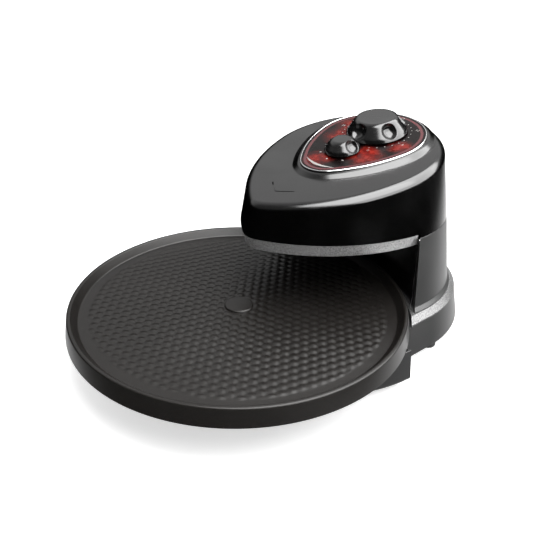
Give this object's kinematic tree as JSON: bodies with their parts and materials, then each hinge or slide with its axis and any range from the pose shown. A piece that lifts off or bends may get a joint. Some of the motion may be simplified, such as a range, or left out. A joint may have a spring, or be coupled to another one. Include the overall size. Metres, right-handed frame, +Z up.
{
  "type": "countertop pizza oven",
  "caption": "Countertop pizza oven: round dimpled pan turning on a driven hub, egg-shaped heater head on a rear column, lower heater tray, timer and element selector knobs.",
  "frame": {"origin": "middle of the footprint's bounding box, at the surface that the feet rest on", "axes": "+Z up, +Y from the pan towards the column at the rear, +X to the right when facing the oven from the pan side"},
  "size_m": [0.3428, 0.4544, 0.2242],
  "materials": {
    "gloss_black": "high gloss black moulded plastic",
    "satin_black": "semi-gloss black moulded plastic",
    "nonstick": "dark grey non-stick coating on pressed sheet",
    "black_steel": "black enamelled sheet steel",
    "silver_trim": "fine brushed silver",
    "steel": "plain plated steel",
    "bright_sheet": "bright rolled reflector sheet",
    "element_sheath": "heat-darkened sheath",
    "knob_plastic": "gloss dark grey moulded plastic",
    "panel_print": "printed red and black label under clear gloss",
    "white_plastic": "natural moulded plastic",
    "rubber": "moulded rubber",
    "brass": "turned bush"
  },
  "bodies": {
    "frame": {"head_shell": "gloss_black", "base_shell": "satin_black", "column_shell": "satin_black", "lower_tray": "black_steel", "base_trim": "silver_trim", "head_trim": "silver_trim", "plate_bezel": "silver_trim", "base_bottom_plate": "steel", "heat_shield": "steel", "timer_body": "steel", "thermal_cutoff": "steel", "gear_motor": "steel", "motor_bracket": "steel", "upper_clip_right": "steel", "upper_clip_left": "steel", "lower_clip_right": "steel", "lower_clip_left": "steel", "bottom_screw_1": "steel", "bottom_screw_2": "steel", "bottom_screw_3": "steel", "bottom_screw_4": "steel", "gap_wall": "bright_sheet", "upper_reflector": "bright_sheet", "lower_reflector": "bright_sheet", "upper_element": "element_sheath", "lower_element": "element_sheath", "control_plate": "panel_print", "selector_switch": "white_plastic", "terminal_block": "white_plastic", "cord_gland": "rubber", "wiring_loom": "rubber", "foot_rear_left": "rubber", "foot_rear_right": "rubber", "foot_front_left": "rubber", "foot_front_right": "rubber", "shaft_bush": "brass"},
    "turntable": {"drive_shaft": "steel", "drive_hub": "satin_black"},
    "pan": {"pan": "nonstick", "drive_socket": "steel"},
    "timer": {"timer_shaft": "steel", "timer_knob": "knob_plastic"},
    "selector": {"selector_shaft": "steel", "selector_knob": "knob_plastic"}
  },
  "joints": [
    {"name": "pan_turn", "type": "hinge", "parent": "frame", "child": "turntable", "pos_m": [0, -0.0558, 0], "axis": [0, 0, 1], "continuous": true},
    {"name": "pan_lift", "type": "slide", "parent": "turntable", "child": "pan", "axis": [0, 0, 1], "range_m": [0, 0.03]},
    {"name": "timer_turn", "type": "hinge", "parent": "frame", "child": "timer", "pos_m": [0, 0.13221, 0.20136], "axis": [0, 0.1762, -0.9843], "range_deg": [0, 300]},
    {"name": "selector_turn", "type": "hinge", "parent": "frame", "child": "selector", "pos_m": [0, 0.08102, 0.1922], "axis": [0, 0.1762, -0.9843], "range_deg": [-45, 45]}
  ]
}
